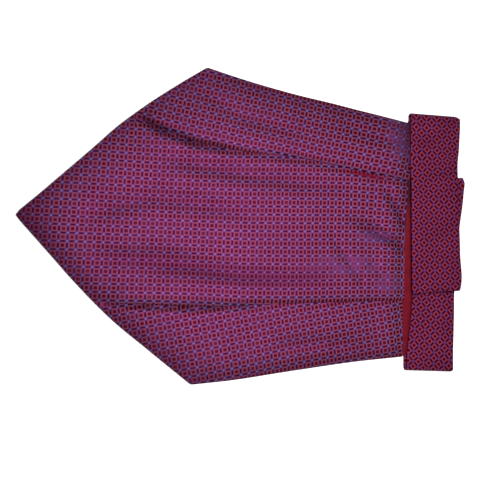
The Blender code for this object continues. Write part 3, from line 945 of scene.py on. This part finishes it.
blade_face = patterned_silk("blade_silk_face", BLADE_DYE, painted_light=True)
blade_back = patterned_silk("blade_silk_back", BACK_DYE)
band_face = patterned_silk("band_silk_face", BAND_DYE_AND_SHADE)
satin = ribbed_satin("red_satin")
paper = Finish("white_paper")
paper.feed(paper.shader, {"Base Color": PAPER_WHITE, "Roughness": PAPER_ROUGHNESS})
floor.data.materials.append(paper.material)
print("finishes:", [made.name for made in (blade_face, blade_back, band_face, satin, paper.material)])

# %% [markdown]
# ## The blade
# Some 180 sections, 1.4 mm apart, carry the cloth from the point to the neck. The last ones lean onto
# the seam, and the first is drawn together into the tip. A shade goes with the cloth: it deepens what
# lies low, at the rim, in the creases and under the folds, and two bands of it have no crease at all.

# %% Blade
STATION_STEP = 1.4
CORNER_STEPS = (-0.8, 0.0, 0.8)
PAST_SEAM = 0.1
RIM_SHADE = 0.30
RIM_WIDTH = 12.0
CREASE_SHADE = 0.15
SHADE_BANDS = (
    trough("above_lower_pleat", 6.5, 0.24, (64, -32), (25, -36), (-22, -32), (-110, -18)),
    trough("upper_panel_end", 9.0, 0.30, (107, 34), (103, 60), (94, 92)),
)
LOW_RIM_SHADE = 0.20
LOW_RIM_WIDTH = 17.0
TIP_SHADE = 0.45
TIP_REACH = 30.0
MOUTH_SHADE = 0.4
MOUTH_WIDTH = 3.0
MOUTH_START = 0.06
MOUTH_LENGTH = 0.16
SEAM_SHADE = 0.45
SEAM_SHADE_LENGTH = 4.0
CLOSED_FROM = 4.0
CLOSED_LENGTH = 18.0


def seam_shift(x, y):
    """Slants the last sections so that they end on the seam."""
    towards = ease((x - SEAM[0].x + SEAM_BEND_LENGTH) / SEAM_BEND_LENGTH)
    return towards * (through(SEAM, "y", "x", y) - SEAM[0].x)


def blade_row(x):
    section, weave = blade_section(x)
    shifted = x + seam_shift(x, section[..., 0])
    return np.concatenate([shifted[..., None], section], axis=-1), weave


def blade_shade(x, y):
    """Shade towards the hems and the point, in the creases and the pleat's mouth and at the band."""
    rim = RIM_SHADE * (1 - ease(inset_of(x, y) / RIM_WIDTH))
    edge_y, _, cosine = edge_at(LOWER_POINT_EDGE, x)
    low_rim = LOW_RIM_SHADE * (1 - ease((y - edge_y) * cosine / LOW_RIM_WIDTH))
    tip = TIP_SHADE * (1 - ease((x - TIP.x) / TIP_REACH))
    apart, at = along_places(UPPER_FOLD, x, y)
    mouth = ease(at / MOUTH_START) * (1 - ease((at - MOUTH_START) / MOUTH_LENGTH))
    mouth = MOUTH_SHADE * mouth * np.exp(-((apart / MOUTH_WIDTH) ** 2))
    seam = ease((x - SEAM[0].x) / SEAM_SHADE_LENGTH + 1) * ease((y - CLOSED_FROM) / CLOSED_LENGTH)
    crease = CREASE_SHADE * crease_depth(CREASES, x, y) + crease_depth(SHADE_BANDS, x, y)
    return 1 - (1 - rim) * (1 - low_rim) * (1 - tip) * (1 - mouth) * (1 - crease) * (1 - SEAM_SHADE * seam)


def make_blade():
    first, last = TIP.x + TIP_LENGTH, SEAM[0].x + PAST_SEAM
    stations = np.linspace(first, last, round((last - first) / STATION_STEP) + 1)
    at_corners = [corner.x + step for corner in (UPPER_CORNER, LOWER_CORNER) for step in CORNER_STEPS]
    clear = np.abs(stations[:, None] - at_corners).min(axis=1) > CORNER_STEPS[-1] / 2
    stations = np.sort(np.concatenate([stations[clear], at_corners]))
    rows = [blade_row(x) for x in stations]
    start, start_weave = rows[0]
    middle = np.array([TIP.x, TIP.y, FOLD_RADIUS])
    point = middle + (start - middle) * TIP_SCALE
    point[..., 0] = TIP.x
    rows.insert(0, (point, start_weave))
    places = np.array([row for row, _ in rows])
    shade = np.array([blade_shade(x, row[:, 0, 1]) for x, row in zip([first, *stations], places)])
    piece = cut_cloth("blade_silk", places.shape[0], places.shape[1], [blade_face, blade_back])
    fold_cloth(piece, places, np.array([weave for _, weave in rows]), shade)
    return piece


blade = make_blade()
print("blade:", len(blade.data.polygons), "faces,", round(face_area(blade) * 1e4, 1), "cm2 of cloth")

# %% [markdown]
# ## The neckband
# The band is a bias strip folded round its interlining and pressed, so it is thicker than the blade and
# its long edges are soft folds. It starts at the lower end piece, goes round the bottom fold, up its
# sewn middle, round the top fold and down over the lower end. The table gives its two edges at each
# height, and a section across it is thinner towards the edges.

# %% Neckband sizes
BandRow = namedtuple("BandRow", "y_left y_right x_left x_right")
BAND_LOWER_END = table(
    BandRow,
    (32.0, 34.0, 117.0, 147.8),
    (30.0, 31.5, 116.6, 149.0),
    (24.0, 24.0, 116.3, 148.6),
    (-0.7, -0.7, 114.6, 145.4),
    (-24.0, -24.0, 112.6, 143.0),
    (-45.6, -45.6, 110.8, 141.5),
    (-61.0, -61.0, 109.5, 141.3),
    (-75.5, -75.5, 108.0, 140.9),
    (-86.0, -86.0, 106.6, 140.6),
)
BAND_MIDDLE = table(
    BandRow,
    (-86.0, -86.0, 105.2, 140.4),
    (-50.0, -50.0, 104.3, 141.0),
    (-20.0, -20.0, 104.7, 142.0),
    (5.0, 5.0, 106.4, 143.0),
    (25.0, 25.0, 108.1, 143.6),
    (68.0, 68.0, 108.9, 144.8),
)
BAND_UPPER_END = table(
    BandRow,
    (67.4, 67.4, 109.6, 145.8),
    (50.0, 50.0, 109.3, 144.7),
    (41.0, 45.0, 109.3, 144.1),
    (38.0, 42.0, 109.3, 143.9),
    (34.5, 38.5, 109.3, 143.7),
    (31.0, 35.0, 109.3, 143.6),
    (27.5, 31.5, 109.3, 143.6),
    (16.0, 18.0, 109.3, 143.8),
    (-0.7, -0.7, 109.4, 144.7),
    (-18.7, -18.7, 109.6, 145.3),
    (-43.0, -41.0, 109.9, 145.9),
    (-46.0, -44.0, 110.1, 145.3),
)
BAND_BOTTOM_FOLD = BandRow(-97.8, -99.9, 105.6, 140.2)
BAND_TOP_FOLD = BandRow(77.6, 76.1, 109.5, 143.8)
BAND_STEP = (41.0, 27.5)
BAND_ROW_STEP = 1.6
BAND_TURN_SEGMENTS = 12
BAND_COLUMNS = 36
BAND_COLUMN_CROWDING = 0.5
BAND_SOFT_EDGE = 1.6
BAND_LEAST_HALF = 0.16
BAND_SOFT_END = 2.2
BAND_END_SINK = 0.8
BAND_END_STEPS = (0.12, 0.35, 0.7, 1.2)

# %% Neckband sections


def finer_rows(given):
    """The given rows with as many again between them as the cloth needs, on smooth edges."""
    heights = [row.y_left for row in given]
    count = round(abs(heights[-1] - heights[0]) / BAND_ROW_STEP)
    ordered = sorted(given, key=lambda row: row.y_left)
    rows = []
    for y in np.linspace(heights[0], heights[-1], count + 1):
        edges = [through(ordered, "y_left", column, y) for column in BandRow._fields[1:]]
        rows.append(BandRow(y, *edges))
    return rows


def end_row(rows, back):
    """The row that lies this far back from the last one."""
    before, last = rows[-3], rows[-1]
    share = back / (before.y_left - last.y_left)
    return BandRow(*[end + (start - end) * share for start, end in zip(before, last)])


def band_section(row, z, angle=0.0, out=0.0, from_end=None):
    """The band's points across one row. The angle turns the outer side round the folds."""
    even = np.linspace(0.0, 1.0, BAND_COLUMNS)
    crowded = (1 - np.cos(math.pi * even)) / 2
    share = even + (crowded - even) * BAND_COLUMN_CROWDING
    x = row.x_left + share * (row.x_right - row.x_left)
    y = row.y_left + share * (row.y_right - row.y_left)
    from_edge = np.minimum(share, 1 - share) * (row.x_right - row.x_left)
    rounding = np.sqrt(1 - (1 - np.clip(from_edge / BAND_SOFT_EDGE, 0.0, 1.0)) ** 2)
    half = BAND_LEAST_HALF + (WALL / 2 - BAND_LEAST_HALF) * rounding
    sunk = 0.0
    if from_end is not None:
        sunk = WALL * BAND_END_SINK * (1 - math.sqrt(1 - (1 - min(from_end / BAND_SOFT_END, 1.0)) ** 2))
    sides = []
    for side in (1, -1):
        reach = out + side * half - (sunk if side > 0 else 0.0)
        sides.append(np.stack([x, y + reach * math.sin(angle), z + reach * math.cos(angle)], axis=-1))
    return np.stack(sides, axis=1)


def band_turn(before, fold, after, sign):
    """The half turn round a fold, from one height to the other. The sign is +1 at the top fold."""
    inward = sign * (LEVEL + WALL / 2)
    rows = []
    for share in np.linspace(0.0, 1.0, BAND_TURN_SEGMENTS + 1):
        corner = math.sin(math.pi * share)
        left = before.x_left + (after.x_left - before.x_left) * share
        right = before.x_right + (after.x_right - before.x_right) * share
        left += (fold.x_left - left) * corner
        right += (fold.x_right - right) * corner
        rows.append((BandRow(fold.y_left - inward, fold.y_right - inward, left, right), share))
    return rows


def band_sections():
    low, high = WALL / 2, WALL / 2 + 2 * LEVEL
    middle = (low + high) / 2
    made = [band_section(row, high) for row in finer_rows(BAND_LOWER_END)]
    for row, share in band_turn(BAND_LOWER_END[-1], BAND_BOTTOM_FOLD, BAND_MIDDLE[0], -1):
        made.append(band_section(row, middle, -math.pi * share, LEVEL))
    made += [band_section(row, low, math.pi) for row in finer_rows(BAND_MIDDLE)]
    for row, share in band_turn(BAND_MIDDLE[-1], BAND_TOP_FOLD, BAND_UPPER_END[0], 1):
        made.append(band_section(row, middle, math.pi * (1 - share), LEVEL))
    upper_rows = finer_rows(BAND_UPPER_END)
    last = upper_rows[-1]
    for row in upper_rows[:-2] + [end_row(upper_rows, step) for step in BAND_END_STEPS[::-1]] + [last]:
        step_up = LEVEL * ease((BAND_STEP[0] - row.y_left) / (BAND_STEP[0] - BAND_STEP[1]))
        made.append(band_section(row, high + step_up, from_end=row.y_left - last.y_left))
    return np.array(made[::-1])


# %% [markdown]
# ## The band's grain
# The strip is cut on the bias, so its squares stand on their corners. Unfolded, the band is one long
# strip, and the distance walked along it is the weave's second coordinate. Between its two visible
# stretches the grain turns a little, out of sight. The band has its own soft creases, as shade only.

# %% Neckband
BAND_REPEAT = 5.3
BandGrain = namedtuple("BandGrain", "angle square_x square_y")
BAND_UPPER_GRAIN = BandGrain(math.radians(46.0), 117.9, 18.8)
BAND_LOWER_GRAIN = BandGrain(math.radians(42.0), 117.1, -48.4)
GRAIN_TURNS_FROM = 0.42
GRAIN_TURNS_OVER = 0.2

END_SHADE_FROM = 0.1
END_SHADE_LENGTH = 0.9
FOLD_SHADE = 0.55
FOLD_SHADE_WIDTH = 0.045
RIGHT_SHADE = 0.18
BAND_CREASES = (
    trough("below_top_fold", 4.0, 1.0, (112, 55), (128, 61), (146, 72)),
    trough("across_upper", 3.5, 1.4, (146, 38), (130, 36), (112, 33)),
    trough("top_fold", 3.0, 2.2, (152, 76), (125, 77.5), (92, 79)),
    trough("bottom_fold", 3.0, 1.6, (150, -100), (120, -99), (84, -98)),
    trough("across_middle", 5.0, 0.9, (146, 6), (130, -4), (112, -10)),
)


def band_weave(grain, x, y):
    along, across = x - grain.square_x, y - grain.square_y
    u = along * math.cos(grain.angle) + across * math.sin(grain.angle)
    v = across * math.cos(grain.angle) - along * math.sin(grain.angle)
    return np.stack([u, v], axis=-1) / BAND_REPEAT


def unfolded(places):
    """How far each row has walked along the band, from the row at the end of the upper end piece."""
    middle = places.mean(axis=(1, 2))
    steps = np.linalg.norm(np.diff(middle, axis=0), axis=1)
    return np.concatenate([[0.0], np.cumsum(steps)])


def band_shade(places, walked):
    """Shade at the end of the upper end piece, and on what lies just beyond it and under its folds."""
    on_end = 1 - ease((walked - END_SHADE_FROM) / END_SHADE_LENGTH)
    x, y, z = places[:, :, 0, 0], places[:, :, 0, 1], places[:, :, 0, 2]
    end_y = np.interp(x, places[0, :, 0, 0], places[0, :, 0, 1])
    under = (z < places[0, :, 0, 2].max() - WALL / 2) & (walked[:, None] > walked[-1] / 2)
    beyond = (1 - ease(np.abs(end_y - y) / END_SHADE_LENGTH)) * under
    across = np.linspace(-1.0, 1.0, places.shape[1])
    sides = FOLD_SHADE * ease((np.abs(across) - 1 + FOLD_SHADE_WIDTH) / FOLD_SHADE_WIDTH)
    right = RIGHT_SHADE * ease(across)
    crease = CREASE_SHADE * crease_depth(BAND_CREASES, x, y)
    soft = 1 - (1 - right[None, :]) * (1 - crease)
    return np.maximum(np.maximum(np.maximum(on_end[:, None], beyond), sides[None, :]), soft)


def make_neckband():
    places = band_sections()
    walked = unfolded(places)
    x = places[:, :, 0, 0]
    y_left = places[0, :, 0, 1]
    upper = band_weave(BAND_UPPER_GRAIN, x, y_left[None, :] + walked[:, None])
    total = walked[-1]
    end_y = places[-1, :, 0, 1]
    lower = band_weave(BAND_LOWER_GRAIN, x, end_y[None, :] - (total - walked)[:, None])
    apart = upper[len(x) // 2].mean(axis=0) - lower[len(x) // 2].mean(axis=0)
    lower += np.round(apart)
    share = ease((walked / total - GRAIN_TURNS_FROM) / GRAIN_TURNS_OVER)[:, None, None]
    piece = cut_cloth("band_silk", places.shape[0], places.shape[1], [band_face])
    fold_cloth(piece, places, upper + (lower - upper) * share, band_shade(places, walked))
    return piece, total


neckband, band_length = make_neckband()
print("neckband:", len(neckband.data.polygons), "faces,", round(band_length), "mm long unfolded")

# %% [markdown]
# ## The lining
# A strip of plain red satin faces the inside of the neckband. Only its edge shows, in the gap beside
# the blade. The seam joins it to the blade's end, so it starts there and no light comes through.

# %% Lining
LINING_INSET = 1.6
LINING_SEWN_IN = 0.04
LINING_TOP = 72.0
LINING_BOTTOM = -88.0
LINING_ROWS = 110
GAP_RIGHT = ((-90.0, -86.0, -61.0, -45.0, 30.0, 75.0), (105.6, 106.6, 109.5, 110.2, 109.3, 109.3))
GAP_SHADE = 0.45
CLOSED_SHADE = 0.8
GAP_SHADE_WIDTH = 1.8


def make_lining():
    made = []
    for y in np.linspace(LINING_BOTTOM, LINING_TOP, LINING_ROWS):
        left = through(SEAM, "y", "x", y) - LINING_SEWN_IN
        right = through(BAND_MIDDLE, "y_left", "x_right", y) - LINING_INSET
        made.append(band_section(BandRow(y, y, left, right), WALL / 2 + LEVEL))
    places = np.array(made)
    piece = cut_cloth("lining_satin", places.shape[0], places.shape[1], [satin])
    x, y = places[:, :, 0, 0], places[:, :, 0, 1]
    gap_right = np.interp(y, *GAP_RIGHT)
    gap_left = x[:, :1]
    edge = np.minimum(x - gap_left, gap_right - x) / GAP_SHADE_WIDTH
    closed = CLOSED_SHADE * ease((y - CLOSED_FROM) / CLOSED_LENGTH)
    shade = np.maximum(GAP_SHADE * (1 - ease(edge)), closed)
    fold_cloth(piece, places, places[:, :, 0, :2] / BAND_REPEAT, shade)
    return piece


lining = make_lining()
print("lining:", len(lining.data.polygons), "faces")

# %% [markdown]
# ## The hem's stitches
# The hems are slip-stitched by hand: each small stitch holds the raw edge of the hem and goes up into
# the cloth above it. One thread is modelled from a sphere that is drawn out along the stitch's path.
# It's copied to each place, and every copy reaches as high as the cloth stands there.

# %% Hem stitches
STITCH_STEP = 5.0
STITCH_FIRST, STITCH_LAST = -130.0, 100.0
STITCH_RADIUS = 0.15
StitchPlace = namedtuple("StitchPlace", "share inward along z")
STITCH_PATH = table(
    StitchPlace,
    (0.0, -1.4, -0.8, 0.35),
    (0.15, -1.1, -0.6, 0.03),
    (0.5, 0.2, 0.1, 0.03),
    (1.0, 0.9, 0.5, 2.0),
)
THREAD_DARK = (0.060, 0.008, 0.045, 1.0)
THREAD_LIGHT = (0.110, 0.016, 0.080, 1.0)
THREAD_CLOUDS = (3000.0, 0.3, 0.7)
THREAD_ROUGHNESS = 0.40
TWIST_ROUGHNESS = 0.15


def thread_finish(name):
    """Purple sewing silk with a fine uneven sheen."""
    finish = Finish(name)
    place = finish.node("ShaderNodeTexCoord", {}, {}, "Object")
    twist = finish.noise(place, *THREAD_CLOUDS)
    colour = finish.mix(THREAD_DARK, THREAD_LIGHT, twist)
    roughness = THREAD_ROUGHNESS + TWIST_ROUGHNESS * twist
    finish.feed(finish.shader, {"Base Color": colour, "Roughness": roughness})
    return finish.material


def stitch_places():
    """Where each stitch crosses a hem's raw edge, the way into the cloth and the cloth's underside."""
    found = []
    for side in EDGES:
        for x in np.arange(STITCH_FIRST, STITCH_LAST, STITCH_STEP):
            y = float(outline_y(x, HEM_WIDTH, side))
            inward = -np.array(outward_at(x, side))
            found.append((np.array([x, y]), inward, float(cloth_lift(x, y)) + WALL - CLOTH / 2))
    return found


def sew(stitch, crossing, inward, top):
    """Draws the unit sphere of one stitch out along its path."""
    mesh = stitch.data
    ball = np.empty(len(mesh.vertices) * 3)
    mesh.vertices.foreach_get("co", ball)
    ball = ball.reshape(-1, 3)
    share = (ball[:, 2] + 1) / 2
    path = np.array([step[1:] for step in STITCH_PATH])
    path[-1, 2] = top
    shares = [step.share for step in STITCH_PATH]
    course = np.gradient(path, shares, axis=0)
    reach, across, z = (np.interp(share, shares, column) for column in path.T)
    course_in, course_z = (np.interp(share, shares, column) for column in (course[:, 0], course[:, 2]))
    length = np.hypot(course_in, course_z)
    reach = reach + STITCH_RADIUS * ball[:, 0] * course_z / length
    z = z - STITCH_RADIUS * ball[:, 0] * course_in / length
    across = across + STITCH_RADIUS * ball[:, 1]
    along = np.array([-inward[1], inward[0]])
    places = crossing + reach[:, None] * inward + across[:, None] * along
    centred = np.column_stack([places - (BOX_MIDDLE.x, BOX_MIDDLE.y), z])
    mesh.vertices.foreach_set("co", (centred * MM).ravel())
    mesh.update()


def make_stitches():
    deselect()
    bpy.ops.mesh.primitive_uv_sphere_add(segments=6, ring_count=8, radius=1.0, calc_uvs=False)
    model = bpy.context.object
    model.name = model.data.name = "hem_stitches"
    model.data.materials.append(thread_finish("sewing_thread"))
    bpy.ops.object.shade_smooth()
    stitches = []
    for crossing, inward, top in stitch_places():
        copy = model.copy()
        copy.data = model.data.copy()
        bpy.context.collection.objects.link(copy)
        sew(copy, crossing, inward, top)
        stitches.append(copy)
    bpy.data.objects.remove(model)
    deselect()
    for copy in stitches:
        copy.select_set(True)
    bpy.context.view_layer.objects.active = stitches[0]
    bpy.ops.object.join()
    joined = bpy.context.object
    joined.name = joined.data.name = "hem_stitches"
    return joined, len(stitches)


stitches, stitch_count = make_stitches()
print("hem:", stitch_count, "stitches,", len(stitches.data.polygons), "faces")

# %% [markdown]
# ## Handing the pieces over
# Each piece takes the place of its plain solid and rides on the one body.

for piece, node, slot in (
    (blade, "blade", "patterned_silk"),
    (neckband, "neckband", "band_silk"),
    (lining, "neckband_lining", "red_satin"),
):
    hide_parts(node)
    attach(piece, "root")
    print(piece.name, "half surface", round(face_area(piece), 5))
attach(stitches, "root")

deselect()
